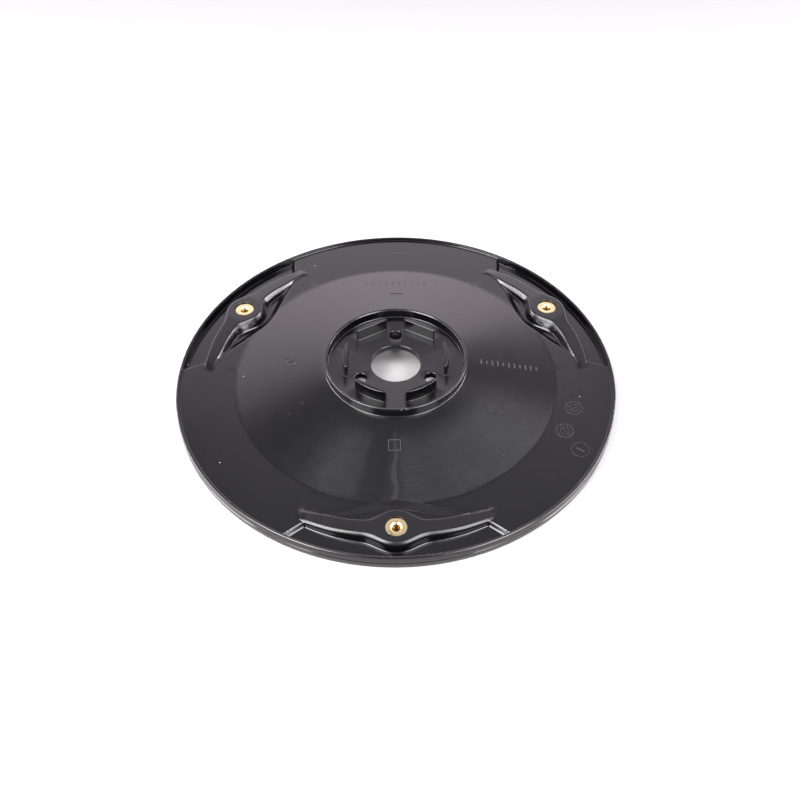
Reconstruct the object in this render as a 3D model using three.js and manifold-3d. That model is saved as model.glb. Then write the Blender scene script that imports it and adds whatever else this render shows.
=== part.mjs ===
// Knife disc of a robotic lawn mower: one moulded plastic disc and the three threaded brass
// inserts that its knives are screwed to. Millimetres, +Z up. The origin is on the disc's axis,
// level with the foot of the rim. The knife side is up, and one insert points along -Y.

import * as THREE from "three";
import { mergeVertices } from "three/addons/utils/BufferGeometryUtils.js";
import Module from "manifold-3d";

// ---------------------------------------------------------------- driving dimensions

// Rim and shell
const DISC_RADIUS = 120.2;      // at the parting line, half way up the rim
const RIM_HEIGHT = 8.2;
const RIM_DRAFT = 0.25;         // lean of the rim's outside, each way from the parting line
const RIM_WALL = 3.0;
const EDGE_BEVEL = 0.4;         // on the edges of the rim and the collar
const LIP_WIDTH = 1.6;          // flat top of the rim
const LIP_DEPTH = 1.8;          // rim top down to the flat band
const LIP_SLOPE = 1.4;          // run of the sloped foot inside the rim
const SHELL_WALL = 2.8;
const BAND_WIDTH = 32.2;        // flat band, from the parting line in to the edge of the cone

// Hub
const HUB_TOP = 15.4;           // floor inside the collar
const HUB_WALL = 3.6;
const CENTRE_HOLE_RADIUS = 13.6;
const COLLAR_RADIUS = 38.7;     // outside
const COLLAR_WALL = 1.7;
const COLLAR_HEIGHT = 5.2;      // above the hub floor
const COLLAR_FOOT_DROP = 0.2;   // the cone meets the collar this much below the hub floor
const COLLAR_FILLET = 1.2;
const SCREW_COUNT = 3;
const SCREW_CIRCLE_RADIUS = 22;
const SCREW_HOLE_RADIUS = 3.5;
const TAB_COUNT = 6;
const TAB_HEIGHT = 7.0;
const TAB_FLAT = 26.0;          // axis to the flat inner face of a tab
const TAB_RADIUS = 28.7;        // round outer face of the tabs
const TAB_LENGTH = 18.8;

// Knife pads: a round boss with an arm on each side of it, along the rim
const PAD_NAMES = ["right", "left", "front"];
const FIRST_PAD_ANGLE = 30;     // degrees, from +X
const INSERT_INSET = 17.5;      // insert's axis, in from the parting line
const PAD_RISE = 1.3;           // knife seat above the rim, so that a knife clears it
const BOSS_RADIUS = 9.7;
const BOSS_FOOT = 1.2;          // how much wider the boss is at its foot
const SEAT_HALF_LENGTH = 10;    // level part of the pad's top, to each side of the insert
const ARM_OUT = 5.1;            // arm's outer edge, outside the insert's circle
const ARM_IN = 2.3;             // arm's inner edge, inside the insert's circle
const ARM_HALF_ANGLE = 24.8;    // degrees
const ARM_END_RISE = 0.8;       // arm's top above the flat band where it starts to run out
const ARM_RUN_OUT = 5;          // length of that last slope
const ARM_OUT_SLOPE = 0.8;      // run of the arm's steep outer side
const ARM_IN_SLOPE = 3.0;       // run of the arm's gentler inner side

// Hollows round a pad
const GROUND_CLEARANCE = 1.2;   // under the thickened shell below a pad
const FLOOR_WALL = 2.6;         // plastic under the hollows
const HOLLOW_DRAFT = 1.3;       // run of the hollows' sides
const POCKET_IN = 4.3;          // pocket's edge under the arm, outside the insert's circle
const POCKET_END_RUN = 10.2;    // length of the pocket's slanting end
const POCKET_END_LEAN = 28;     // degrees that this end turns away from the radius
const SCOOP_POINT_IN = 16.4;    // scoop's blunt point, inside the insert's circle
const SCOOP_TIP_IN = 9.7;       // scoop's two tips, inside the insert's circle
const SCOOP_HALF_LENGTH = 37;
const SCOOP_NOSE = 4;           // half width of the scoop's blunt point
const CORE_WALL = 2.2;          // sides left where an arm is cored out from below

// Threaded inserts
const INSERT_RADIUS = 5.5;
const INSERT_SETBACK = 0.7;     // face below the knife seat
const INSERT_SEAT_WALL = 1.1;   // plastic shoulder under the insert
const INSERT_BEVEL = 0.4;
const INSERT_GROOVE = 0.6;      // depth of the retaining groove round its middle
const INSERT_GROOVE_WIDTH = 1.5;
const THREAD_RADIUS = 2.1;      // core of an M5 thread
const THREAD_MOUTH = 0.45;      // countersink of the thread
const INSERT_GAP = 0.3;         // insert to plastic
const SCREW_END_RADIUS = 3.6;   // room for the end of a knife screw, under the insert

// Facets and working allowances
const ROUND_SEGMENTS = 96;
const SMALL_SEGMENTS = 28;
const ARC_STEPS = 14;
const JOIN = 1;                 // how far joined solids reach into each other
const PAST = 5;                 // how far a cut runs past the plastic

// ---------------------------------------------------------------- sizes that follow

const radians = THREE.MathUtils.degToRad;
const BAND_TOP = RIM_HEIGHT - LIP_DEPTH;
const PAD_TOP = RIM_HEIGHT + PAD_RISE;
const RIM_EDGE_RADIUS = DISC_RADIUS - RIM_DRAFT;
const RIM_INSIDE = DISC_RADIUS - RIM_WALL;
const LIP_INSIDE = RIM_EDGE_RADIUS - LIP_WIDTH;
const LIP_FOOT_RADIUS = LIP_INSIDE - LIP_SLOPE;
const CONE_RADIUS = DISC_RADIUS - BAND_WIDTH;
const CONE_TOP = HUB_TOP - COLLAR_FOOT_DROP;
const COLLAR_INSIDE = COLLAR_RADIUS - COLLAR_WALL;
const COLLAR_TOP = HUB_TOP + COLLAR_HEIGHT;
const INSERT_CIRCLE_RADIUS = DISC_RADIUS - INSERT_INSET;
const HOLLOW_FLOOR = GROUND_CLEARANCE + FLOOR_WALL;
const INSERT_FACE = PAD_TOP - INSERT_SETBACK;
const INSERT_SEAT = GROUND_CLEARANCE + INSERT_SEAT_WALL;
const INSERT_FOOT = INSERT_SEAT + INSERT_GAP;
const ARM_OUTSIDE = INSERT_CIRCLE_RADIUS + ARM_OUT;
const ARM_INSIDE = INSERT_CIRCLE_RADIUS - ARM_IN;
const ARM_ANGLE = radians(ARM_HALF_ANGLE);
const PAD_ANGLES = PAD_NAMES.map((_, i) => radians(FIRST_PAD_ANGLE + (i * 360) / PAD_NAMES.length));

// ---------------------------------------------------------------- materials

const plastic = new THREE.MeshStandardMaterial({ color: 0x2b2a2d, roughness: 0.38, metalness: 0 });
const brass = new THREE.MeshStandardMaterial({ color: 0xd9b35c, roughness: 0.28, metalness: 1 });

// ---------------------------------------------------------------- solids from geometries

const wasm = await Module();
wasm.setup();

function toSolid(geometry) {
  const bare = geometry.clone();
  bare.deleteAttribute("normal");
  bare.deleteAttribute("uv");
  const merged = mergeVertices(bare, 1e-4);
  const mesh = new wasm.Mesh({
    numProp: 3,
    vertProperties: new Float32Array(merged.attributes.position.array),
    triVerts: new Uint32Array(merged.index.array),
  });
  return new wasm.Manifold(mesh);
}

function toGeometry(solid) {
  const mesh = solid.getMesh();
  const geometry = new THREE.BufferGeometry();
  geometry.setAttribute("position", new THREE.BufferAttribute(mesh.vertProperties, 3));
  geometry.setIndex(new THREE.BufferAttribute(mesh.triVerts, 1));
  geometry.computeVertexNormals();
  return geometry;
}

// A ring turned round Z from a closed profile of [radius, height] points, listed anticlockwise.
function turned(profile, segments = ROUND_SEGMENTS) {
  const points = [...profile, profile[0]].map(([radius, height]) => new THREE.Vector2(radius, height));
  return new THREE.LatheGeometry(points, segments).rotateX(Math.PI / 2);
}

function shapeOf(outline) {
  return new THREE.Shape(outline.map(([x, y]) => new THREE.Vector2(x, y)));
}

// A straight prism on an outline of [x, y] points, between two heights.
function prism(outline, low, high) {
  const straight = { depth: high - low, bevelEnabled: false };
  return new THREE.ExtrudeGeometry(shapeOf(outline), straight).translate(0, 0, low);
}

// A cutter with leaning sides: its outline grows by `run` from `low` to `high`, then goes on up.
function flaredCutter(outline, low, high, run) {
  const flare = { bevelEnabled: true, bevelThickness: high - low, bevelSize: run, bevelSegments: 1 };
  return new THREE.ExtrudeGeometry(shapeOf(outline), { depth: PAST, ...flare }).translate(0, 0, high);
}

// A round bar or cone about Z, between two heights.
function bar(lowRadius, highRadius, low, high) {
  return new THREE.CylinderGeometry(highRadius, lowRadius, high - low, SMALL_SEGMENTS)
    .rotateX(Math.PI / 2)
    .translate(0, 0, (low + high) / 2);
}

// Points of a round arc about the origin, from one angle to another, ends included.
function arc(radius, from, to, steps = ARC_STEPS) {
  return Array.from({ length: steps + 1 }, (_, i) => {
    const angle = from + ((to - from) * i) / steps;
    return [radius * Math.cos(angle), radius * Math.sin(angle)];
  });
}

// ---------------------------------------------------------------- disc: turned shapes

// Everything between the disc's upper face and the plane that it stands on.
function discBlank() {
  return turned([
    [CENTRE_HOLE_RADIUS, 0],
    [RIM_EDGE_RADIUS - EDGE_BEVEL, 0],
    [RIM_EDGE_RADIUS, EDGE_BEVEL],
    [DISC_RADIUS, RIM_HEIGHT / 2],
    [RIM_EDGE_RADIUS, RIM_HEIGHT - EDGE_BEVEL],
    [RIM_EDGE_RADIUS - EDGE_BEVEL, RIM_HEIGHT],
    [LIP_INSIDE, RIM_HEIGHT],
    [LIP_FOOT_RADIUS, BAND_TOP],
    [CONE_RADIUS, BAND_TOP],
    [COLLAR_RADIUS + COLLAR_FILLET, CONE_TOP],
    [COLLAR_RADIUS, CONE_TOP + COLLAR_FILLET],
    [COLLAR_RADIUS, COLLAR_TOP - EDGE_BEVEL],
    [COLLAR_RADIUS - EDGE_BEVEL, COLLAR_TOP],
    [COLLAR_INSIDE + EDGE_BEVEL, COLLAR_TOP],
    [COLLAR_INSIDE, COLLAR_TOP - EDGE_BEVEL],
    [COLLAR_INSIDE, HUB_TOP + COLLAR_FILLET],
    [COLLAR_INSIDE - COLLAR_FILLET, HUB_TOP],
    [CENTRE_HOLE_RADIUS, HUB_TOP],
  ]);
}

// The open space under the shell, as if nothing stood in it.
function undersideHollow() {
  return turned([
    [CENTRE_HOLE_RADIUS - JOIN, -PAST],
    [RIM_INSIDE, -PAST],
    [RIM_INSIDE, BAND_TOP - SHELL_WALL],
    [CONE_RADIUS, BAND_TOP - SHELL_WALL],
    [COLLAR_RADIUS, HUB_TOP - HUB_WALL],
    [CENTRE_HOLE_RADIUS - JOIN, HUB_TOP - HUB_WALL],
  ]);
}

// Both arms of every pad as one ring: a steep outer side and a gentler inner one.
function armRing() {
  return turned([
    [ARM_INSIDE - ARM_IN_SLOPE, HOLLOW_FLOOR - JOIN],
    [ARM_OUTSIDE + ARM_OUT_SLOPE, HOLLOW_FLOOR - JOIN],
    [ARM_OUTSIDE + ARM_OUT_SLOPE, HOLLOW_FLOOR],
    [ARM_OUTSIDE, PAD_TOP],
    [ARM_INSIDE, PAD_TOP],
    [ARM_INSIDE - ARM_IN_SLOPE, HOLLOW_FLOOR],
  ]);
}

// The groove that cores the arms out from below.
function coreRing() {
  return turned([
    [ARM_INSIDE + CORE_WALL, -PAST],
    [ARM_OUTSIDE - CORE_WALL, -PAST],
    [ARM_OUTSIDE - CORE_WALL, PAD_TOP],
    [ARM_INSIDE + CORE_WALL, PAD_TOP],
  ]);
}

// ---------------------------------------------------------------- disc: outlines of one pad
// X points out through the insert, and Y runs along the rim.

// The hollow between the arms and the rim, which leaves room for a folded knife.
function pocketOutline() {
  const lean = ARM_ANGLE + radians(POCKET_END_LEAN);
  const endX = ARM_OUTSIDE * Math.cos(ARM_ANGLE) + POCKET_END_RUN * Math.cos(lean);
  const endY = ARM_OUTSIDE * Math.sin(ARM_ANGLE) + POCKET_END_RUN * Math.sin(lean);
  const endAngle = Math.atan2(endY, endX);
  return [
    ...arc(LIP_FOOT_RADIUS - HOLLOW_DRAFT, -endAngle, endAngle),
    ...arc(INSERT_CIRCLE_RADIUS + POCKET_IN, ARM_ANGLE, -ARM_ANGLE),
  ];
}

// The wedge-shaped hollow on the inner side of a pad: its blunt point faces the hub.
function scoopOutline() {
  const point = INSERT_CIRCLE_RADIUS - SCOOP_POINT_IN;
  const tip = INSERT_CIRCLE_RADIUS - SCOOP_TIP_IN;
  const tipAngle = Math.asin(SCOOP_HALF_LENGTH / ARM_INSIDE);
  return [
    ...arc(ARM_INSIDE, -tipAngle, tipAngle),
    [tip, SCOOP_HALF_LENGTH],
    [point, SCOOP_NOSE],
    [point, -SCOOP_NOSE],
    [tip, -SCOOP_HALF_LENGTH],
  ];
}

// Footprint of the thickened shell under the hollows and the pad.
function blockOutline() {
  const point = INSERT_CIRCLE_RADIUS - SCOOP_POINT_IN - FLOOR_WALL - HOLLOW_DRAFT;
  const tip = INSERT_CIRCLE_RADIUS - SCOOP_TIP_IN - FLOOR_WALL - HOLLOW_DRAFT;
  const nose = SCOOP_NOSE + FLOOR_WALL;
  const endAngle = ARM_ANGLE + (POCKET_END_RUN / 2 + FLOOR_WALL) / ARM_OUTSIDE;
  const endX = ARM_INSIDE * Math.cos(endAngle);
  const endY = ARM_INSIDE * Math.sin(endAngle);
  return [
    ...arc(RIM_INSIDE + JOIN, -endAngle, endAngle),
    [endX, endY],
    [tip, SCOOP_HALF_LENGTH],
    [point, nose],
    [point, -nose],
    [tip, -SCOOP_HALF_LENGTH],
    [endX, -endY],
  ];
}

// Side view of a pad, lowered by `drop`: level over the boss, easing down along both arms.
function padSide(drop) {
  const armEnd = ARM_OUTSIDE * Math.sin(ARM_ANGLE);
  const half = [
    [armEnd + ARM_RUN_OUT, -PAST],
    [armEnd + ARM_RUN_OUT, BAND_TOP - drop],
    [armEnd, BAND_TOP + ARM_END_RISE - drop],
    [SEAT_HALF_LENGTH, PAD_TOP - drop],
  ];
  const outline = [...half, ...half.map(([along, height]) => [-along, height]).reverse()];
  const inward = ARM_INSIDE * Math.cos(ARM_ANGLE) - 2 * PAST;
  const outward = ARM_OUTSIDE + 2 * PAST;
  const alongY = new THREE.Vector3(0, 1, 0);
  const upZ = new THREE.Vector3(0, 0, 1);
  const outX = new THREE.Vector3(1, 0, 0);
  return prism(outline, inward, outward).applyMatrix4(new THREE.Matrix4().makeBasis(alongY, upZ, outX));
}

// ---------------------------------------------------------------- disc: cuts and joins

function atPad(geometry, angle) {
  return toSolid(geometry.clone().rotateZ(angle));
}

function atInsert(geometry, angle) {
  return atPad(geometry.clone().translate(INSERT_CIRCLE_RADIUS, 0, 0), angle);
}

// One raised pad: the arms under their falling top line, and the boss with its level seat.
function pad(angle) {
  const arms = toSolid(armRing()).intersect(atPad(padSide(0), angle));
  const foot = HOLLOW_FLOOR - JOIN;
  return arms.add(atInsert(bar(BOSS_RADIUS + BOSS_FOOT, BOSS_RADIUS, foot, PAD_TOP), angle));
}

// The hollows that surround a pad, open at the top.
function padHollows(angle) {
  const pocket = atPad(flaredCutter(pocketOutline(), HOLLOW_FLOOR, BAND_TOP, HOLLOW_DRAFT), angle);
  const scoop = atPad(flaredCutter(scoopOutline(), HOLLOW_FLOOR, BAND_TOP, HOLLOW_DRAFT), angle);
  return pocket.add(scoop);
}

// The insert's stepped hole, and the groove under each arm, which stops short of the boss.
function padBores(angle) {
  const seat = atInsert(bar(INSERT_RADIUS + INSERT_GAP, INSERT_RADIUS + INSERT_GAP, INSERT_SEAT, PAD_TOP + PAST), angle);
  const screwEnd = atInsert(bar(SCREW_END_RADIUS, SCREW_END_RADIUS, -PAST, PAD_TOP), angle);
  const keep = BOSS_RADIUS + BOSS_FOOT;
  const core = toSolid(coreRing())
    .intersect(atPad(padSide(SHELL_WALL), angle))
    .subtract(atInsert(bar(keep, keep, -2 * PAST, PAD_TOP + PAST), angle));
  return seat.add(screwEnd).add(core);
}

function screwHole(angle) {
  const hole = bar(SCREW_HOLE_RADIUS, SCREW_HOLE_RADIUS, 0, HUB_TOP + PAST);
  return toSolid(hole.translate(SCREW_CIRCLE_RADIUS, 0, 0).rotateZ(angle));
}

// A locating tab: flat towards the axis, round on its outer face.
function tab(angle) {
  const half = Math.asin(TAB_LENGTH / 2 / TAB_RADIUS);
  const outline = [
    ...arc(TAB_RADIUS, -half, half, 6),
    [TAB_FLAT, TAB_LENGTH / 2],
    [TAB_FLAT, -TAB_LENGTH / 2],
  ];
  return toSolid(prism(outline, HUB_TOP - JOIN, HUB_TOP + TAB_HEIGHT).rotateZ(angle));
}

function mouldedDisc() {
  let hollow = toSolid(undersideHollow());
  let disc = toSolid(discBlank());
  for (const angle of PAD_ANGLES) {
    hollow = hollow.subtract(atPad(prism(blockOutline(), GROUND_CLEARANCE, COLLAR_TOP), angle));
  }
  disc = disc.subtract(hollow);
  for (const angle of PAD_ANGLES) {
    disc = disc.subtract(padHollows(angle)).add(pad(angle)).subtract(padBores(angle));
  }
  for (let i = 0; i < SCREW_COUNT; i += 1) {
    disc = disc.subtract(screwHole(Math.PI / 2 + (i * 2 * Math.PI) / SCREW_COUNT));
  }
  for (let i = 0; i < TAB_COUNT; i += 1) {
    disc = disc.add(tab((i * 2 * Math.PI) / TAB_COUNT));
  }
  const mesh = new THREE.Mesh(toGeometry(disc), plastic);
  mesh.name = "moulded_disc";
  return mesh;
}

// ---------------------------------------------------------------- the inserts

// A turned brass nut with a bevelled face, a retaining groove and an open thread core.
function threadedInsert(name, angle) {
  const middle = (INSERT_FOOT + INSERT_FACE) / 2;
  const grooveLow = middle - INSERT_GROOVE_WIDTH / 2;
  const grooveHigh = middle + INSERT_GROOVE_WIDTH / 2;
  const waist = INSERT_RADIUS - INSERT_GROOVE;
  const profile = [
    [THREAD_RADIUS, INSERT_FOOT],
    [INSERT_RADIUS - INSERT_BEVEL, INSERT_FOOT],
    [INSERT_RADIUS, INSERT_FOOT + INSERT_BEVEL],
    [INSERT_RADIUS, grooveLow],
    [waist, grooveLow],
    [waist, grooveHigh],
    [INSERT_RADIUS, grooveHigh],
    [INSERT_RADIUS, INSERT_FACE - INSERT_BEVEL],
    [INSERT_RADIUS - INSERT_BEVEL, INSERT_FACE],
    [THREAD_RADIUS + THREAD_MOUTH, INSERT_FACE],
    [THREAD_RADIUS, INSERT_FACE - THREAD_MOUTH],
  ];
  const mesh = new THREE.Mesh(turned(profile, SMALL_SEGMENTS), brass);
  mesh.name = name;
  mesh.position.set(INSERT_CIRCLE_RADIUS * Math.cos(angle), INSERT_CIRCLE_RADIUS * Math.sin(angle), 0);
  return mesh;
}

// ---------------------------------------------------------------- assembly

const knifeDisc = new THREE.Group();
knifeDisc.name = "knife_disc";
knifeDisc.add(mouldedDisc());
PAD_NAMES.forEach((name, i) => knifeDisc.add(threadedInsert(`threaded_insert_${name}`, PAD_ANGLES[i])));

export default knifeDisc;
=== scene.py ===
"""Knife disc of a robotic lawn mower, knife side up: one black moulding with three brass inserts.

Shapes are worked out in millimetres, as points on grids, and become metres when a mesh is made.
+Z is up and the origin is on the disc's axis, level with the foot of its rim.
"""
import math

import bpy
import numpy as np
from mathutils import Matrix, Vector


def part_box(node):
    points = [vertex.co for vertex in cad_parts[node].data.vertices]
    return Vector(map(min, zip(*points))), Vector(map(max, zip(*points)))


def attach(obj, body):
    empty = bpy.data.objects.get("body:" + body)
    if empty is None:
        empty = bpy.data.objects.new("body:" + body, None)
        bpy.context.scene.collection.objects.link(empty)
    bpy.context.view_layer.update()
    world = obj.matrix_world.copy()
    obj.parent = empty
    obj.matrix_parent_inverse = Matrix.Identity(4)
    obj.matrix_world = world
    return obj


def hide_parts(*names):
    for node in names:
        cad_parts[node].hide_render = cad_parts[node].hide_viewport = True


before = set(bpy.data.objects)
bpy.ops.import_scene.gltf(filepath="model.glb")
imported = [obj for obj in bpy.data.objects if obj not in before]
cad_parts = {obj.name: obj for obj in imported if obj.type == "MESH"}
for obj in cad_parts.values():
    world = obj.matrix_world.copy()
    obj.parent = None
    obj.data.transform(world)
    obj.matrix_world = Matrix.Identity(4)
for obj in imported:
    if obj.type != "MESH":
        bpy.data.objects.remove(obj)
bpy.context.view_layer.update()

MM = 0.001


def box_mm(node):
    """Lowest and highest corner of a CAD node, in millimetres."""
    low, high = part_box(node)
    return np.array(low) / MM, np.array(high) / MM


# ---------------------------------------- sizes

DISC_LOW, DISC_HIGH = box_mm("moulded_disc")
DISC_RADIUS = (DISC_HIGH[0] - DISC_LOW[0]) / 2
TAB_TOP = DISC_HIGH[2]
INSERTS = [f"threaded_insert_{side}" for side in ("right", "left", "front")]
INSERT_BOXES = [box_mm(name) for name in INSERTS]
INSERT_RADIUS = (INSERT_BOXES[0][1][0] - INSERT_BOXES[0][0][0]) / 2
INSERT_FACE = INSERT_BOXES[0][1][2]
INSERT_FOOT = INSERT_BOXES[0][0][2]
INSERT_CENTRES = [(low[:2] + high[:2]) / 2 for low, high in INSERT_BOXES]
INSERT_CIRCLE = float(np.hypot(*INSERT_CENTRES[0]))
FIRST_PAD_ANGLE = math.atan2(INSERT_CENTRES[0][1], INSERT_CENTRES[0][0])
PAD_STEP = math.tau / len(INSERTS)

# Rim
RIM_HEIGHT = 8.2
RIM_DRAFT = 0.25
RIM_WALL = 3.0
RIM_EDGE = 0.75            # radius of the rim's outer edges
PARTING_GROOVE = 0.45      # depth of the line where the two halves of the mould met
LIP_INSIDE = 118.4
LIP_SLOPE = 5.0            # rise over run of the lip's inner side
LIP_LEAN = 0.3             # how much lower the lip's inner edge is than its outer edge
LIP_FILLET = 0.3
LIP_EDGE = 0.12

# Shell
BAND_TOP = 6.4
CONE_EDGE = 88.0
CONE_EDGE_BLEND = 0.22
CONE_TOP = 15.2            # height where the cone meets the collar
SHELL_UNDER = 3.6
FACE_START = 43.0          # radius where the plain hub hands over to the shell with its pads
HUB_SEAM = 42.0

# Hub
HUB_TOP = 15.4
HUB_UNDER = 11.8
HUB_UNDER_FILLET = 3.0
CENTRE_HOLE = 13.6
HOLE_EDGE = 0.5
COLLAR_OUT = 38.7
COLLAR_IN = 37.0
COLLAR_TOP = 20.6
COLLAR_EDGE_OUT = 0.5
COLLAR_EDGE_IN = 1.15
COLLAR_FOOT_OUT = 0.5
COLLAR_FOOT_IN = 0.7
SCREW_CIRCLE = 22.0
SCREW_HOLE = 3.5
SCREW_HOLE_EDGE = 0.45
TAB_COUNT = 6
TAB_IN = 26.0
TAB_OUT = 28.6
TAB_HALF_LENGTH = 9.4
TAB_CORNER = 0.5
TAB_EDGE = 0.35
TAB_FOOT = 0.3
TAB_DRAFT = 0.2

# Pads: a boss round each insert, with an arm along the rim to either side
PAD_TOP = 9.5
SEAT_HALF_LENGTH = 10.0
ARM_FALL = 0.0638          # drop of an arm's top along its length
ARM_END = 42.0             # from here on the top runs out into the shell
ARM_END_TOP = 7.5
ARM_RUN_OUT = 0.17
ARM_OUT = 108.2
ARM_IN = 100.2
ARM_IN_SWELL = 0.7         # how much further in the arm reaches beside the boss
ARM_SWELLS = (12.0, 27.0)
ARM_TAPER = (29.0, 47.0)   # the stretch over which an arm narrows to its tip
ARM_TAPER_IN = 2.2
ARM_TAPER_OUT = 0.5
ARM_OUT_SLOPE = 6.0
ARM_IN_SLOPE = 2.1
ARM_TIP_SLOPE = 1.0        # the inner side flattens out towards an arm's tip
ARM_SOFTENS = (33.0, 42.0)
ARM_OUT_EDGE = 1.9
ARM_IN_EDGE = 1.2
ARM_FOOT = 0.8
ARM_FOOT_FADE = 1.5        # an arm lower than this has less of a fillet at its foot
BOSS_RADIUS = 9.7
BOSS_BLEND_OUT = 8.0
BOSS_BLEND_IN = 7.2

# Hollows: a scoop inside each pad and a pocket outside it
HOLLOW_FLOOR = 3.8
SCOOP_POINT = 85.3         # blunt point of the scoop, from the disc's axis
SCOOP_LEAN = 0.224         # how the scoop's edge moves outwards along the rim
SCOOP_NOSE = 3.4
SCOOP_REACH = 2.5          # how far the scoop runs on under the arm's inner side
SCOOP_SLOPE = 0.75
SCOOP_FLOOR_FILLET = 1.3
SCOOP_EDGE = 1.5
POCKET_INSIDE = 105.0
POCKET_END = (44.8, 97.6)  # along the rim, outwards
POCKET_END_LEAN = math.atan2(6.1, 8.1)
POCKET_SLOPE = 2.2
POCKET_FLOOR_FILLET = 1.0
POCKET_EDGE = 0.6
HOLLOW_CORNER = 0.5

# Underside
UNDER_BLEND = 0.4
BLOCK_UNDER = 1.2          # underside of the thickened shell below a pad
BLOCK_MARGIN = 3.9
BLOCK_HALF_ANGLE = math.radians(28.9)
BLOCK_SLOPE = 3.0
BLOCK_CORNER = 3.0
BLOCK_FOOT = 0.5
BLOCK_EDGE = 0.8
CORE_WALL = 2.2
CORE_CEILING = 2.8         # plastic over the grooves under the arms
CORE_SLOPE = 5.0
CORE_EDGE = 0.5
CORE_KEEP = 10.9           # radius left solid round an insert

# Inserts
BORE_GAP = 0.1             # insert to plastic, as it looks
SCREW_END = 3.6            # radius of the room for a screw's end below an insert
THREAD_PITCH = 0.8
THREAD_CORE = 2.1
THREAD_DEPTH = 0.25
MOUTH_RADIUS = 2.8
INSERT_BEVEL = 0.35
INSERT_GROOVE = 0.6        # depth of the retaining groove round its middle
INSERT_GROOVE_FLOOR = 1.2  # width of the groove at its floor, and below at its mouth
INSERT_GROOVE_MOUTH = 1.8


# ---------------------------------------- curves and blends

def smooth_max(a, b, k):
    """The larger of a and b; within k of each other they blend, with a rise of k/4 where they meet."""
    share = np.clip(0.5 + 0.5 * (a - b) / k, 0, 1)
    return b * (1 - share) + a * share + k * share * (1 - share)


def smooth_min(a, b, k):
    return -smooth_max(-a, -b, k)


def rounded_max(floor, wall, slope, radius):
    """A wall of the given slope that rises out of a floor, joined to it by a round arc.

    x is the distance past the line where they meet, (wall - floor) / slope. Between
    -r tan(a/2) and that plus r sin(a), with a = atan(slope), the height over the floor is
    r - sqrt(r^2 - (x + r tan(a/2))^2)."""
    lean = np.arctan(slope)
    start = -radius * np.tan(lean / 2)
    reach = radius * np.sin(lean)
    x = (wall - floor) / slope
    along = np.clip(x - start, 0, reach)
    arc = floor + radius - np.sqrt(radius**2 - along**2)
    return np.where(x <= start, floor, np.where(x >= start + reach, wall, arc))


def rounded_min(roof, wall, slope, radius):
    """A roof that breaks off over a round arc into a wall that falls away."""
    return -rounded_max(-roof, -wall, slope, radius)


def rounded_step(x, low, high):
    """0 below low, 1 above high, 3s^2 - 2s^3 between."""
    s = np.clip((x - low) / (high - low), 0, 1)
    return s * s * (3 - 2 * s)


def filleted(corners, radii, step=18):
    """Points along a chain of straight lines whose inner corners are replaced by round arcs.

    An arc of radius r touches both lines r tan(turn/2) away from the corner, and has a point
    about every `step` degrees."""
    corners = [np.array(c, float) for c in corners]
    path = [corners[0]]
    for before, corner, after, radius in zip(corners, corners[1:], corners[2:], radii):
        into = (corner - before) / np.linalg.norm(corner - before)
        out = (after - corner) / np.linalg.norm(after - corner)
        side = np.sign(into[0] * out[1] - into[1] * out[0])
        turn = math.acos(np.clip(into @ out, -1, 1))
        touch = corner - into * radius * math.tan(turn / 2)
        centre = touch + side * radius * np.array([-into[1], into[0]])
        count = max(2, int(math.degrees(turn) / step) + 1)
        swing = side * np.linspace(0, turn, count + 1)
        spoke = touch - centre
        turned = np.stack([spoke[0] * np.cos(swing) - spoke[1] * np.sin(swing),
                           spoke[0] * np.sin(swing) + spoke[1] * np.cos(swing)], 1)
        path.extend(centre + turned)
    path.append(corners[-1])
    return np.array(path)


# ---------------------------------------- meshes

def ring_faces(this, following):
    """Quads between rings of points and the rings that follow them, closed round the rings."""
    corners = [this, following, np.roll(following, -1, 1), np.roll(this, -1, 1)]
    return np.stack(corners, -1).reshape(-1, 4)


class Skin:
    """Gathers rings of points and the faces between them. Rings follow one another so that
    (next ring - this ring) x (anticlockwise) points out of the solid."""

    def __init__(self):
        self.points, self.quads, self.triangles, self.count = [], [], [], 0

    def add_points(self, points):
        index = self.count + np.arange(points[..., 0].size).reshape(points.shape[:-1])
        self.points.append(points.reshape(-1, 3))
        self.count += index.size
        return index

    def rings(self, points):
        """A grid of (ring, point round it), closed round the rings."""
        index = self.add_points(points)
        self.quads.append(ring_faces(index[:-1], index[1:]))
        return index

    def stitch(self, ring, angles, following, following_angles):
        """Joins two rings with different numbers of points. The middles of all their steps are
        put in order of angle, and each step becomes one triangle to the point that the other
        ring has reached."""
        def middles(a):
            return (a + np.append(a[1:], a[0] + math.tau)) / 2
        n, m = len(ring), len(following)
        order = np.argsort(np.concatenate([middles(angles), middles(following_angles)]), kind="stable")
        first = order < n
        i, j = np.cumsum(first) - first, np.cumsum(~first) - ~first
        third = np.where(first, ring[(i + 1) % n], following[(j + 1) % m])
        self.triangles.append(np.stack([ring[i % n], following[j % m], third], -1))

    def mesh(self, name):
        return make_mesh(name, np.concatenate(self.points), np.concatenate(self.quads),
                         np.concatenate(self.triangles) if self.triangles else None)


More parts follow.
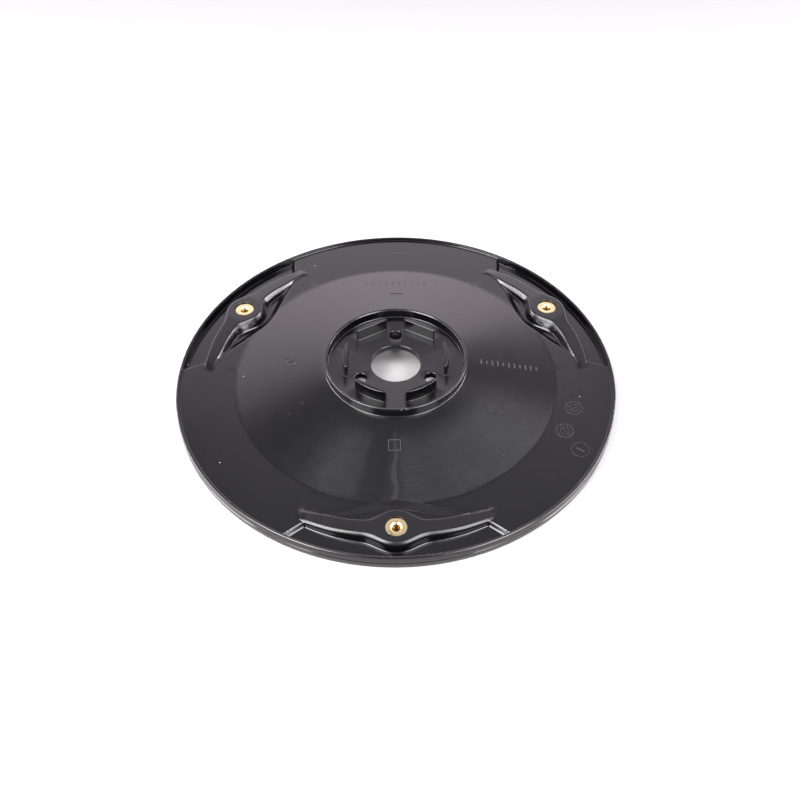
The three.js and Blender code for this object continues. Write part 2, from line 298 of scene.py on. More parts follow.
def make_mesh(name, points, quads, triangles=None, polygons=()):
    """A mesh from points in millimetres, with its faces smooth."""
    sizes = [np.full(len(quads), 4)]
    corners = [quads.reshape(-1)]
    if triangles is not None and len(triangles):
        sizes.append(np.full(len(triangles), 3))
        corners.append(triangles.reshape(-1))
    for polygon in polygons:
        sizes.append([len(polygon)])
        corners.append(polygon)
    sizes, corners = np.concatenate(sizes), np.concatenate(corners)
    mesh = bpy.data.meshes.new(name)
    mesh.vertices.add(len(points))
    mesh.vertices.foreach_set("co", (points * MM).astype(np.float32).ravel())
    mesh.loops.add(len(corners))
    mesh.loops.foreach_set("vertex_index", corners.astype(np.int32))
    mesh.polygons.add(len(sizes))
    mesh.polygons.foreach_set("loop_start", (np.cumsum(sizes) - sizes).astype(np.int32))
    mesh.update(calc_edges=True)
    mesh.validate()
    mesh.shade_smooth()
    return mesh


def closed_solids(name, grids):
    """One mesh of closed solids. Each is a grid of (level, point round it), from its top down and
    anticlockwise, with a flat face at both ends."""
    points, quads, polygons, start = [], [], [], 0
    for grid in grids:
        index = start + np.arange(grid[..., 0].size).reshape(grid.shape[:2])
        quads.append(ring_faces(index[:-1], index[1:]))
        polygons += [index[0], index[-1][::-1]]
        points.append(grid.reshape(-1, 3))
        start += index.size
    return make_mesh(name, np.concatenate(points), np.concatenate(quads), polygons=polygons)


def make_piece(name, mesh, material=None):
    piece = bpy.data.objects.new(name, mesh)
    bpy.context.scene.collection.objects.link(piece)
    if material is not None:
        mesh.materials.append(material)
    return piece


def turned(path, angles):
    """Rings of a [radius, height] path turned round Z: (r cos a, r sin a, z)."""
    radius, height = path[:, 0, None], path[:, 1, None]
    return np.stack([radius * np.cos(angles), radius * np.sin(angles), height + 0 * angles], -1)


def even_angles(count):
    """Angles all round, from the middle of the gap between two pads."""
    return FIRST_PAD_ANGLE - PAD_STEP / 2 + np.arange(count) * math.tau / count


def pad_angles(count, crowding):
    """`count` angles round each pad, crowded together near it, repeated for every pad.

    The density is 1 + crowding within 28 degrees of the pad's middle and 1 past 33 degrees, and
    the angles share its integral evenly."""
    fine = np.linspace(-PAD_STEP / 2, PAD_STEP / 2, 2001)
    density = 1 + crowding * (1 - rounded_step(np.abs(fine), math.radians(28), math.radians(33)))
    share = np.concatenate([[0], np.cumsum((density[1:] + density[:-1]) / 2)])
    one = np.interp(np.arange(count) / count * share[-1], share, fine)
    return np.concatenate([one + FIRST_PAD_ANGLE + i * PAD_STEP for i in range(len(INSERTS))])


def blurred(values, axis, width, mode):
    """A running average over 2 width + 1 neighbours, made three times, along one axis."""
    span, margin = 2 * width + 1, [(0, 0), (0, 0)]
    margin[axis] = (width, width)
    for _ in range(3):
        held = np.pad(values, margin, mode=mode)
        shifted = [np.take(held, np.arange(i, i + values.shape[axis]), axis) for i in range(span)]
        values = sum(shifted) / span
    return values


def crowded_radii(height, angles, low, high, count):
    """Radii for each angle that crowd where the surface is steep or turns sharply.

    Along each radial line the density is base + climb |dz/dr| + bend |d(atan dz/dr)/dr|,
    averaged with its neighbours, and the points share its integral evenly."""
    base, climb, bend, densest, step = 0.35, 0.8, 5.0, 8.0, 0.1
    radii = np.linspace(low, high, int((high - low) / step))
    z = height(radii * np.cos(angles[:, None]), radii * np.sin(angles[:, None]))
    slope = np.gradient(z, radii, axis=1)
    density = base + climb * np.abs(slope) + bend * np.abs(np.gradient(np.arctan(slope), radii, axis=1))
    density = blurred(blurred(np.minimum(density, densest), 1, 2, "edge"), 0, 2, "wrap")
    area = np.cumsum((density[:, 1:] + density[:, :-1]) / 2, 1)
    share = np.concatenate([np.zeros((len(angles), 1)), area], 1)
    share /= share[:, -1:]
    shift = 2 * np.arange(len(angles))[:, None]
    wanted = np.linspace(0, 1, count) + shift
    every_radius = np.broadcast_to(radii, share.shape)
    return np.interp(wanted.ravel(), (share + shift).ravel(), every_radius.ravel()).reshape(wanted.shape)


# ---------------------------------------- disc surfaces

def pad_frame(x, y):
    """u outwards through the nearest insert, t along the rim to either side, the radius, and the
    angle from that insert."""
    angle = np.arctan2(y, x) - FIRST_PAD_ANGLE
    angle = angle - PAD_STEP * np.round(angle / PAD_STEP)
    radius = np.hypot(x, y)
    return radius * np.cos(angle), np.abs(radius * np.sin(angle)), radius, np.abs(angle)


def cone(radius):
    return BAND_TOP + (CONE_EDGE - radius) * (CONE_TOP - BAND_TOP) / (CONE_EDGE - COLLAR_OUT)


def cone_under(radius):
    return SHELL_UNDER + (CONE_EDGE - radius) * (HUB_UNDER - SHELL_UNDER) / (CONE_EDGE - COLLAR_OUT)


def pad_side(t):
    """Height of a pad's top along the rim: level, then falling, then running out."""
    falling = PAD_TOP - ARM_FALL * (t - SEAT_HALF_LENGTH)
    ending = ARM_END_TOP - ARM_RUN_OUT * (t - ARM_END)
    return smooth_min(smooth_min(falling, ending, 0.5), PAD_TOP, 0.1)


def scoop_depth(u, t):
    """How far a point is past the scoop's edge, which is the line u = point + lean (s - nose)
    with s = sqrt(t^2 + nose^2), so that the blunt point is round."""
    along = np.sqrt(t * t + SCOOP_NOSE**2) - SCOOP_NOSE
    return (u - SCOOP_POINT - SCOOP_LEAN * along) / math.hypot(1, SCOOP_LEAN)


def hollow(shell, depth, slope, floor_fillet, edge):
    """The shell with a hollow sunk in it: its wall falls from the edge, where depth is 0."""
    recess = rounded_max(HOLLOW_FLOOR, shell - slope * depth, slope, floor_fillet)
    return rounded_min(shell, recess, slope, edge)


def upper_face(x, y):
    """Height of the disc's knife side between the collar's foot and the lip."""
    u, t, radius, _ = pad_frame(x, y)
    shell = smooth_max(cone(radius), BAND_TOP, CONE_EDGE_BLEND)

    scoop = smooth_min(scoop_depth(u, t), ARM_IN + SCOOP_REACH - radius, HOLLOW_CORNER)
    shell = hollow(shell, scoop, SCOOP_SLOPE, SCOOP_FLOOR_FILLET, SCOOP_EDGE)
    past_end = ((u - POCKET_END[1]) * math.cos(POCKET_END_LEAN)
                - (t - POCKET_END[0]) * math.sin(POCKET_END_LEAN))
    pocket = smooth_min(past_end, radius - POCKET_INSIDE, HOLLOW_CORNER)
    shell = hollow(shell, pocket, POCKET_SLOPE, POCKET_FLOOR_FILLET, POCKET_EDGE)

    boss = BOSS_RADIUS - np.hypot(u - INSERT_CIRCLE, t)
    top = pad_side(t)
    taper = rounded_step(t, *ARM_TAPER)
    arm_out = ARM_OUT - ARM_TAPER_OUT * taper
    arm_in = ARM_IN - ARM_IN_SWELL * (1 - rounded_step(t, *ARM_SWELLS)) + ARM_TAPER_IN * taper
    out_wall = top + ARM_OUT_SLOPE * smooth_max(arm_out - radius, boss, BOSS_BLEND_OUT)
    in_slope = ARM_IN_SLOPE + (ARM_TIP_SLOPE - ARM_IN_SLOPE) * rounded_step(t, *ARM_SOFTENS)
    in_wall = top + in_slope * smooth_max(radius - arm_in, boss, BOSS_BLEND_IN)
    pad = rounded_min(top, out_wall, ARM_OUT_SLOPE, ARM_OUT_EDGE)
    pad = rounded_min(pad, in_wall, in_slope, ARM_IN_EDGE)
    foot = (rounded_max(shell, out_wall, ARM_OUT_SLOPE, ARM_FOOT) - np.maximum(shell, out_wall)
            + rounded_max(shell, in_wall, in_slope, ARM_FOOT) - np.maximum(shell, in_wall))
    face = smooth_max(shell, pad, 0.12) + foot * np.clip((top - shell) / ARM_FOOT_FADE, 0, 1)

    lip = RIM_HEIGHT - LIP_LEAN + LIP_SLOPE * (radius - LIP_INSIDE)
    return rounded_max(face, lip, LIP_SLOPE, LIP_FILLET)


def lower_face(x, y):
    """Height of the disc's underside between the hub and the rim."""
    u, t, radius, angle = pad_frame(x, y)
    shell = smooth_max(cone_under(radius), SHELL_UNDER, UNDER_BLEND)
    block = smooth_min(scoop_depth(u, t) + BLOCK_MARGIN,
                       radius * np.sin(BLOCK_HALF_ANGLE - angle), BLOCK_CORNER)
    recess = rounded_max(BLOCK_UNDER, BLOCK_UNDER - BLOCK_SLOPE * block, BLOCK_SLOPE, BLOCK_FOOT)
    face = rounded_min(shell, recess, BLOCK_SLOPE, BLOCK_EDGE)
    core = np.minimum(np.minimum(radius - ARM_IN - CORE_WALL, ARM_OUT - CORE_WALL - radius),
                      np.hypot(u - INSERT_CIRCLE, t) - CORE_KEEP)
    ceiling = pad_side(t) - CORE_CEILING
    groove = rounded_min(ceiling, BLOCK_UNDER + CORE_SLOPE * core, CORE_SLOPE, CORE_EDGE)
    return smooth_max(face, groove, 0.1)


def hub_path():
    """Section of the hub: in along the underside, up the centre hole, out over the collar."""
    corners = [(HUB_SEAM, float(cone_under(HUB_SEAM))), (COLLAR_OUT, HUB_UNDER),
               (CENTRE_HOLE, HUB_UNDER), (CENTRE_HOLE, HUB_TOP), (COLLAR_IN, HUB_TOP),
               (COLLAR_IN, COLLAR_TOP), (COLLAR_OUT, COLLAR_TOP), (COLLAR_OUT, CONE_TOP),
               (HUB_SEAM, float(cone(HUB_SEAM)))]
    radii = [HUB_UNDER_FILLET, HOLE_EDGE, HOLE_EDGE, COLLAR_FOOT_IN, COLLAR_EDGE_IN, COLLAR_EDGE_OUT,
             COLLAR_FOOT_OUT]
    return filleted(corners, radii)


def rim_path():
    """Section of the rim: up the lip, over its top, down past the parting line, round the foot."""
    edge_radius, inside = DISC_RADIUS - RIM_DRAFT, DISC_RADIUS - RIM_WALL
    middle, groove, lip_edge = RIM_HEIGHT / 2, PARTING_GROOVE, RIM_HEIGHT - LIP_LEAN
    lip_start, shift, foot_bevel = 0.12, 0.04, (0.1, 0.7)
    corners = [(LIP_INSIDE - lip_start, lip_edge - 4 * lip_start), (LIP_INSIDE, lip_edge),
               (edge_radius, RIM_HEIGHT), (DISC_RADIUS, middle + groove), (DISC_RADIUS - groove, middle),
               (DISC_RADIUS - shift, middle - groove), (edge_radius, 0), (inside + foot_bevel[0], 0),
               (inside, foot_bevel[1])]
    groove_mouth, groove_floor, foot_edge = 0.1, 0.08, 0.3
    radii = [LIP_EDGE, RIM_EDGE, groove_mouth, groove_floor, groove_mouth, RIM_EDGE, foot_edge]
    return filleted(corners, radii)


def shell_grid(height, angles, outside, count):
    """Points of a face of the shell over the angles, out to a radius, in rings."""
    radii = crowded_radii(height, angles, FACE_START, outside, count).T
    x, y = radii * np.cos(angles), radii * np.sin(angles)
    return np.stack([x, y, height(x, y)], -1)


def disc_skin():
    """The disc as one closed band of rings: hub, knife side, rim and underside."""
    skin = Skin()
    hub_angles, rim_angles = even_angles(168), even_angles(300)
    face_angles, under_angles = pad_angles(200, crowding=6), pad_angles(120, crowding=5)
    hub = skin.rings(turned(hub_path(), hub_angles))
    face = skin.rings(shell_grid(upper_face, face_angles, LIP_INSIDE - 0.3, count=88))
    rim = skin.rings(turned(rim_path(), rim_angles))
    rim_inside = DISC_RADIUS - RIM_WALL
    under = skin.rings(shell_grid(lower_face, under_angles, rim_inside - 0.1, count=40)[::-1])

    skin.stitch(hub[-1], hub_angles, face[0], face_angles)
    skin.stitch(face[-1], face_angles, rim[0], rim_angles)
    skin.stitch(rim[-1], rim_angles, under[0], under_angles)
    skin.stitch(under[-1], under_angles, hub[0], hub_angles)
    return skin.mesh("disc")


# ---------------------------------------- tabs, holes and bores

def tab_outline():
    """Outline of a locating tab round +X, anticlockwise, and its outward normals: a flat inner
    face, a round outer face and small round corners."""
    half, steps = math.asin(TAB_HALF_LENGTH / TAB_OUT), 12
    swing = np.linspace(-half, half, steps + 1)
    outer = np.stack([TAB_OUT * np.cos(swing), TAB_OUT * np.sin(swing)], 1)
    corners = np.concatenate([outer, [[TAB_IN, TAB_HALF_LENGTH], [TAB_IN, -TAB_HALF_LENGTH]]])
    radii = np.full(len(corners), 0.01)
    radii[[0, steps, steps + 1, steps + 2]] = TAB_CORNER
    seam = [(corners[-1] + corners[0]) / 2]
    path = filleted(np.concatenate([seam, corners, seam]), radii, step=30)[:-1]
    path = path[np.linalg.norm(path - np.roll(path, 1, 0), axis=1) > 0.02]
    along = np.roll(path, -1, 0) - np.roll(path, 1, 0)
    along /= np.linalg.norm(along, axis=1, keepdims=True)
    return path, np.stack([along[:, 1], -along[:, 0]], 1)


def tab_solids():
    """The tabs: the outline grows by `out` at each height, wide at the foot and round on top."""
    outline, normals = tab_outline()
    height = TAB_TOP - HUB_TOP
    side = filleted([(TAB_FOOT + 1.2, -0.02), (TAB_DRAFT, 0.0), (0.0, height), (-1.0, height)],
                    [TAB_FOOT, TAB_EDGE], step=15)
    side = side[side[:, 0] > -TAB_EDGE - 0.05]
    root = [(TAB_DRAFT, -1.0), (TAB_DRAFT + TAB_FOOT * 0.9, -0.6)]
    out, rise = np.hsplit(np.concatenate([root, side[1:]])[::-1], 2)
    x, y = np.moveaxis(outline + normals * out[..., None], -1, 0)
    tabs = []
    for turn in np.arange(TAB_COUNT) * math.tau / TAB_COUNT:
        c, s = math.cos(turn), math.sin(turn)
        tabs.append(np.stack([x * c - y * s, x * s + y * c, HUB_TOP + rise + 0 * x], -1))
    return closed_solids("tabs", tabs)


def round_cutters(centres, path, count):
    """Closed round solids, each a [radius, height] path from top to bottom turned about a centre."""
    shape = turned(path, np.arange(count) * math.tau / count)
    return closed_solids("cutters", [shape + (x, y, 0) for x, y in centres])


def screw_cutters():
    """Through holes with rounded mouths for the coupling's screws."""
    mouth = filleted([(SCREW_HOLE + 2, HUB_TOP + 0.02), (SCREW_HOLE, HUB_TOP), (SCREW_HOLE, HUB_UNDER - 1)],
                     [SCREW_HOLE_EDGE], step=15)
    path = np.concatenate([[(SCREW_HOLE + SCREW_HOLE_EDGE + 0.1, HUB_TOP + 1)], mouth[1:]])
    angles = FIRST_PAD_ANGLE + PAD_STEP / 2 + np.arange(len(INSERTS)) * PAD_STEP
    return round_cutters(SCREW_CIRCLE * np.stack([np.cos(angles), np.sin(angles)], 1), path, 40)


def bore_cutters():
    """Stepped holes for the inserts, and room below for a screw's end."""
    bore = INSERT_RADIUS + BORE_GAP
    path = np.array([(bore, PAD_TOP + 1), (bore, INSERT_FOOT), (SCREW_END, INSERT_FOOT), (SCREW_END, 0.2)])
    return round_cutters(INSERT_CENTRES, path, 72)


def carve(body, mesh, operation):
    """Joins a closed mesh to the body, or cuts it out, and keeps the result as the body's mesh."""
    tool = make_piece("tool", mesh)
    modifier = body.modifiers.new("carve", "BOOLEAN")
    modifier.operation, modifier.object, modifier.solver = operation, tool, "MANIFOLD"
    graph = bpy.context.evaluated_depsgraph_get()
    made = bpy.data.meshes.new_from_object(body.evaluated_get(graph))
    body.modifiers.clear()
    body.data = made
    bpy.data.objects.remove(tool)


def assign_cone(mesh):
    """Gives the cone's faces on the knife side, level with its formula, the second material."""
    count = len(mesh.polygons)
    centre, normal = np.empty(count * 3, np.float32), np.empty(count * 3, np.float32)
    mesh.polygons.foreach_get("center", centre)
    mesh.polygons.foreach_get("normal", normal)
    centre, normal = centre.reshape(-1, 3) / MM, normal.reshape(-1, 3)
    radius = np.hypot(centre[:, 0], centre[:, 1])
    level = np.abs(centre[:, 2] - cone(radius)) < 0.25
    on_cone = (radius > COLLAR_OUT + 1) & (radius < CONE_EDGE) & (normal[:, 2] > 0.9) & level
    mesh.polygons.foreach_set("material_index", on_cone.astype(np.int32))
    mesh.update()


# ---------------------------------------- inserts

def insert_mesh(name, centre):
    """A turned nut as a grid closed both ways: rings follow the section, and inside the bore the
    radius is core + depth |2 frac(z / pitch - angle / turn) - 1|, a screw thread that fades out
    over the last half millimetre at both ends."""
    angles = np.arange(96) * math.tau / 96
    bore_low, bore_high = INSERT_FOOT, INSERT_FACE - (MOUTH_RADIUS - THREAD_CORE)
    z_bore = np.linspace(bore_low, bore_high, 64)[:, None]
    wave = np.abs(2 * np.mod(z_bore / THREAD_PITCH - angles / math.tau, 1) - 1)
    fade = np.clip(np.minimum(z_bore - bore_low, bore_high - z_bore) / 0.5, 0, 1)
    bore_radius = THREAD_CORE + THREAD_DEPTH * wave * fade
    bore = np.stack([bore_radius, z_bore + 0 * bore_radius], -1)

    middle, mouth, floor = (INSERT_FOOT + INSERT_FACE) / 2, INSERT_GROOVE_MOUTH / 2, INSERT_GROOVE_FLOOR / 2
    groove = INSERT_RADIUS - INSERT_GROOVE
    shell = filleted([(THREAD_CORE, bore_high), (MOUTH_RADIUS, INSERT_FACE), (INSERT_RADIUS, INSERT_FACE),
                      (INSERT_RADIUS, middle + mouth), (groove, middle + floor),
                      (groove, middle - floor), (INSERT_RADIUS, middle - mouth),
                      (INSERT_RADIUS, INSERT_FOOT), (THREAD_CORE + 0.2, INSERT_FOOT)],
                     [0.12, INSERT_BEVEL, 0.1, 0.1, 0.1, 0.1, INSERT_BEVEL], step=20)[1:]
    shell = np.broadcast_to(shell[:, None], (len(shell), len(angles), 2))
    radius, height = np.moveaxis(np.concatenate([bore, shell]), -1, 0)
    grid = np.stack([centre[0] + radius * np.cos(angles), centre[1] + radius * np.sin(angles), height], -1)
    index = np.arange(radius.size).reshape(radius.shape)
    mesh = make_mesh(name, grid.reshape(-1, 3), ring_faces(index, np.roll(index, -1, 0)))
    turning = mesh.attributes.new("turning", "FLOAT", "POINT")
    turning.data.foreach_set("value", radius.astype(np.float32).ravel())
    return mesh


# ---------------------------------------- moulded marks

MARK_HEIGHT = 0.3
MARK_SINK = 0.25           # how far the feet of a mark reach into the disc
EJECTOR_RINGS = [(-53.1, -28.9), (51.7, -29.1), (-94.6, -54.2), (95.9, -12.4)]
EJECTOR_RADIUS = 4.7
EJECTOR_RISE = 0.12
ARM_RINGS = 17.0           # along the rim, to either side of an insert
ARM_RING_OUT = 0.6
ARM_RING_RADIUS = 3.6
ARM_RING_RISE = 0.045
DATE_DIALS = [((95.0, -25.9), 0.4), ((88.2, -41.6), 1.9)]     # centre, and the angle of the hand
DIAL_RADIUS = 4.6
DIAL_MONTHS = 0.74         # shares of the dial's radius
DIAL_HEART = 0.48
STAMP = (94.7, -54.4)
SQUARE = (-0.7, -55.3)
SQUARE_HALF = 3.0


def on_face(flat, rise):
    """Points of a plan put on the knife side: z is its height there plus rise."""
    return np.concatenate([flat, (upper_face(flat[..., 0], flat[..., 1]) + rise)[..., None]], -1)


def raised_ring(centre, radius, width, height=MARK_HEIGHT, count=56):
    """A low ring: the corners of its section, sunk at the feet and raised on top, turned round."""
    angles = np.arange(count) * math.tau / count
    across = np.array([width / 2, width / 5, -width / 5, -width / 2])[:, None]
    rise = np.array([-MARK_SINK, height, height, -MARK_SINK])[:, None]
    reach = radius + across + 0 * angles
    flat = np.stack([centre[0] + reach * np.cos(angles), centre[1] + reach * np.sin(angles)], -1)
    index = np.arange(4 * count).reshape(4, count)
    return on_face(flat, rise).reshape(-1, 3), ring_faces(np.roll(index, -1, 0), index)


def raised_bar(centre, angle, length, width, height=MARK_HEIGHT):
    """A low bar: a rectangle sunk in the face and a smaller one raised over it, joined as a box."""
    corner = np.array([(1, 1), (-1, 1), (-1, -1), (1, -1)]) / 2
    foot, top = corner * (length, width), corner * (length - width * 0.4, width * 0.6)
    flat = np.stack([foot, top])
    c, s = math.cos(angle), math.sin(angle)
    flat = np.stack([centre[0] + flat[..., 0] * c - flat[..., 1] * s,
                     centre[1] + flat[..., 0] * s + flat[..., 1] * c], -1)
    points = on_face(flat, np.array([-MARK_SINK, height])[:, None])
    side = np.array([(i, (i + 1) % 4, (i + 1) % 4 + 4, i + 4) for i in range(4)])
    return points.reshape(-1, 3), np.concatenate([side, [(3, 2, 1, 0), (4, 5, 6, 7)]])


def dial_parts(centre, hand):
    """A date dial: two rings, a tick for each month between them and a hand across the middle."""
    months = np.arange(12) * math.tau / 12
    places = centre + DIAL_RADIUS * DIAL_MONTHS * np.stack([np.cos(months), np.sin(months)], 1)
    ticks = [raised_bar(place, month, 1.0, 0.4) for place, month in zip(places, months)]
    return ticks + [raised_ring(centre, DIAL_RADIUS, 0.5), raised_ring(centre, DIAL_RADIUS * DIAL_HEART, 0.4),
                    raised_bar(centre, hand, DIAL_RADIUS * 0.7, 0.5)]


def bar_row(start, end, count, length, width):
    """A row of plain bars standing across the line from start to end, some of them shorter."""
    places = np.linspace(start, end, count)
    across = math.atan2(end[1] - start[1], end[0] - start[0]) + math.pi / 2
    lengths = length * (1 - 0.25 * (np.arange(count) % 3 == 1))
    return [raised_bar(place, across, size, width) for place, size in zip(places, lengths)]


def joined(name, parts):
    """One mesh from several (points, quads) parts."""
    points, quads, start = [], [], 0
    for place, faces in parts:
        points.append(place)
        quads.append(faces + start)
        start += len(place)
    return make_mesh(name, np.concatenate(points), np.concatenate(quads))


def pin_rings():
    """The faint rings that the mould's ejector pins leave on the shell and beside each insert.
    Those beside an insert lie on a circle about the disc's axis, so they move in by
    side^2 / (2 r)."""
    parts = [raised_ring(place, EJECTOR_RADIUS, 0.4, EJECTOR_RISE) for place in EJECTOR_RINGS]
    for place in INSERT_CENTRES:
        out = place / np.linalg.norm(place)
        along = np.array([-out[1], out[0]])
        for side in (-ARM_RINGS, ARM_RINGS):
            spot = place + out * (ARM_RING_OUT - side**2 / (2 * INSERT_CIRCLE)) + along * side
            parts.append(raised_ring(spot, ARM_RING_RADIUS, 0.35, ARM_RING_RISE, 40))
    return joined("pin_rings", parts)


def etched_marks():
    """Date dials, a stamp, plain bars and a plain square: none of them lettering."""
    parts = [part for centre, hand in DATE_DIALS for part in dial_parts(centre, hand)]
    parts += [raised_ring(STAMP, DIAL_RADIUS, 0.4), raised_bar(STAMP, -0.6, 5.0, 0.8)]
    parts += bar_row((-17.3, 75.0), (17.3, 75.0), 10, 4.0, 1.5)
    parts += bar_row((46.9, 2.2), (77.7, 1.7), 11, 3.8, 1.3)
    parts += bar_row((-63.0, 2.6), (-55.0, 2.6), 5, 2.0, 0.8)
    parts += [raised_ring((-59.0, 7.0), 2.0, 0.4, count=32)]
    parts += [raised_bar((0.5, 62.4), 0, 8.0, 1.0), raised_bar((2.0, 105.3), 0, 9.0, 1.2)]
    for dx, dy, turn in ((0, 1, 0), (0, -1, 0), (1, 0, math.pi / 2), (-1, 0, math.pi / 2)):
        side = (SQUARE[0] + SQUARE_HALF * dx, SQUARE[1] + SQUARE_HALF * dy)
        parts.append(raised_bar(side, turn, 2 * SQUARE_HALF + 0.5, 0.6))
    return joined("marks", parts)


# ---------------------------------------- materials

class Wiring:
    """Adds nodes to a node tree. Values are numbers, tuples or the sockets of earlier nodes."""

    def __init__(self, tree):
        self.nodes, self.links = tree.nodes, tree.links

    def feed(self, socket, value):
        if isinstance(value, (int, float, tuple)):
            socket.default_value = value
        else:
            self.links.new(value, socket)

    def math(self, operation, *values, clamp=False):
        node = self.nodes.new("ShaderNodeMath")
        node.operation, node.use_clamp = operation, clamp
        for socket, value in zip(node.inputs, values):
            self.feed(socket, value)
        return node.outputs[0]

    def vector_math(self, operation, *values):
        node = self.nodes.new("ShaderNodeVectorMath")
        node.operation = operation
        for socket, value in zip(node.inputs, values):
            self.feed(socket, value)
        return node.outputs["Value" if operation == "LENGTH" else "Vector"]

    def step(self, value, low, high):
        """0 below low and 1 above high, eased between; low may be the larger."""
        node = self.nodes.new("ShaderNodeMapRange")
        node.interpolation_type = "SMOOTHSTEP"
        self.links.new(value, node.inputs["Value"])
        node.inputs["From Min"].default_value, node.inputs["From Max"].default_value = sorted((low, high))
        ends = (1, 0) if low > high else (0, 1)
        node.inputs["To Min"].default_value, node.inputs["To Max"].default_value = ends
        return node.outputs[0]

    def noise(self, vector, scale, detail=2.0, roughness=0.5):
        node = self.nodes.new("ShaderNodeTexNoise")
        values = {"Vector": vector, "Scale": scale, "Detail": detail, "Roughness": roughness}
        for name, value in values.items():
            self.feed(node.inputs[name], value)
        return node.outputs["Fac"]

    def mix(self, share, low, high):
        node = self.nodes.new("ShaderNodeMix")
        node.data_type = "RGBA"
        for index, value in ((0, share), (6, low), (7, high)):
            self.feed(node.inputs[index], value)
        return node.outputs[2]

    def ramp(self, value, stops):
        """A colour ramp through (place, colour) stops."""
        node = self.nodes.new("ShaderNodeValToRGB")
        self.links.new(value, node.inputs[0])
        while len(node.color_ramp.elements) < len(stops):
            node.color_ramp.elements.new(1.0)
        for element, (place, colour) in zip(node.color_ramp.elements, stops):
            element.position, element.color = place, (*colour, 1)
        return node.outputs[0]

    def split(self, vector):
        node = self.nodes.new("ShaderNodeSeparateXYZ")
        self.links.new(vector, node.inputs[0])
        return node.outputs

    def join(self, *values):
        node = self.nodes.new("ShaderNodeCombineXYZ")
        for socket, value in zip(node.inputs, values):
            self.feed(socket, value)
        return node.outputs[0]

    def bump(self, height, distance, strength, normal=None):
        node = self.nodes.new("ShaderNodeBump")
        node.inputs["Distance"].default_value, node.inputs["Strength"].default_value = distance, strength
        self.links.new(height, node.inputs["Height"])
        if normal is not None:
            self.links.new(normal, node.inputs["Normal"])
        return node.outputs[0]

    def group(self, tree, **inputs):
        node = self.nodes.new("ShaderNodeGroup")
        node.node_tree = tree
        for name, value in inputs.items():
            self.feed(node.inputs[name], value)
        return node.outputs


def new_group(name, inputs, outputs):
    """A shader node group with named sockets: the group, its wiring, what it is given and its results.
    An input without a default value is a vector."""
    tree = bpy.data.node_groups.new(name, "ShaderNodeTree")
    for socket, value in inputs.items():
        kind = "NodeSocketVector" if value is None else "NodeSocketFloat"
        made = tree.interface.new_socket(socket, in_out="INPUT", socket_type=kind)
        if value is not None:
            made.default_value = value
    for socket in outputs:
        tree.interface.new_socket(socket, in_out="OUTPUT", socket_type="NodeSocketFloat")
    given, result = tree.nodes.new("NodeGroupInput").outputs, tree.nodes.new("NodeGroupOutput").inputs
    return tree, Wiring(tree), given, result


def grain_group():
    """Fine grain and wider clouds of a moulded or machined skin, both about 0.5."""
    inputs = {"Vector": None, "Grains": 2500.0, "Clouds": 90.0}
    tree, w, given, result = new_group("surface_grain", inputs, ("Grain", "Cloud"))
    w.feed(result["Grain"], w.noise(given["Vector"], given["Grains"], 3.0, 0.6))
    w.feed(result["Cloud"], w.noise(given["Vector"], given["Clouds"], 4.0, 0.6))
    return tree


def scratch_group():
    """Hair scratches: noise drawn out about 100 times along one line, cut at a high level, in
    three directions, and kept in patches."""
    tree, w, given, result = new_group("hair_scratches", {"Vector": None, "Amount": 0.5}, ("Mask",))
    x, y, _ = w.split(given["Vector"])
    total = 0.0
    for turn, seed in ((0.35, 1.0), (1.25, 4.0), (2.45, 9.0)):
        c, s = math.cos(turn), math.sin(turn)
        along = w.math("ADD", w.math("MULTIPLY", x, c), w.math("MULTIPLY", y, s))
        across = w.math("SUBTRACT", w.math("MULTIPLY", y, c), w.math("MULTIPLY", x, s))
        drawn = w.join(w.math("MULTIPLY", along, 28.0), w.math("MULTIPLY", across, 3000.0), seed)
        patch = w.step(w.noise(given["Vector"], 45.0 + seed), 0.52, 0.68)
        line = w.step(w.noise(drawn, 1.0, 1.0), 0.70, 0.80)
        total = w.math("ADD", total, w.math("MULTIPLY", line, patch))
    w.feed(result["Mask"], w.math("MULTIPLY", total, given["Amount"], clamp=True))
    return tree


def dust_group():
    """Specks of dust: small balls at the points of a cell pattern, in about one cell in six."""
    inputs = {"Vector": None, "Cells": 180.0, "Speck": 0.05}
    tree, w, given, result = new_group("dust_specks", inputs, ("Mask",))
    cells = w.nodes.new("ShaderNodeTexVoronoi")
    w.feed(cells.inputs["Vector"], given["Vector"])
    w.feed(cells.inputs["Scale"], given["Cells"])
    first_draw, second_draw, _ = w.split(cells.outputs["Color"])
    chosen = w.math("GREATER_THAN", first_draw, 0.84)
    near = w.math("LESS_THAN", cells.outputs["Distance"], w.math("MULTIPLY", given["Speck"], second_draw))
    w.feed(result["Mask"], w.math("MULTIPLY", chosen, near))
    return tree


def turning_group():
    """Fine rings left by a lathe: noise that changes quickly with the radius, slowly round it."""
    inputs = {"Radius": 0.0, "Vector": None, "Rings": 1.0, "Spread": 1.0}
    tree, w, given, result = new_group("turning_rings", inputs, ("Rings", "Bands"))
    x, y, _ = w.split(given["Vector"])
    round_x, round_y, _ = w.split(w.vector_math("NORMALIZE", w.join(x, y, 0.0)))
    round_x = w.math("MULTIPLY", round_x, given["Spread"])
    round_y = w.math("MULTIPLY", round_y, given["Spread"])
    ring = w.math("MULTIPLY", given["Radius"], given["Rings"])
    w.feed(result["Rings"], w.noise(w.join(round_x, round_y, ring), 1.0, 3.0, 0.6))
    band = w.math("MULTIPLY", ring, 0.12)
    w.feed(result["Bands"], w.noise(w.join(round_x, round_y, band), 1.0, 2.0))
    return tree


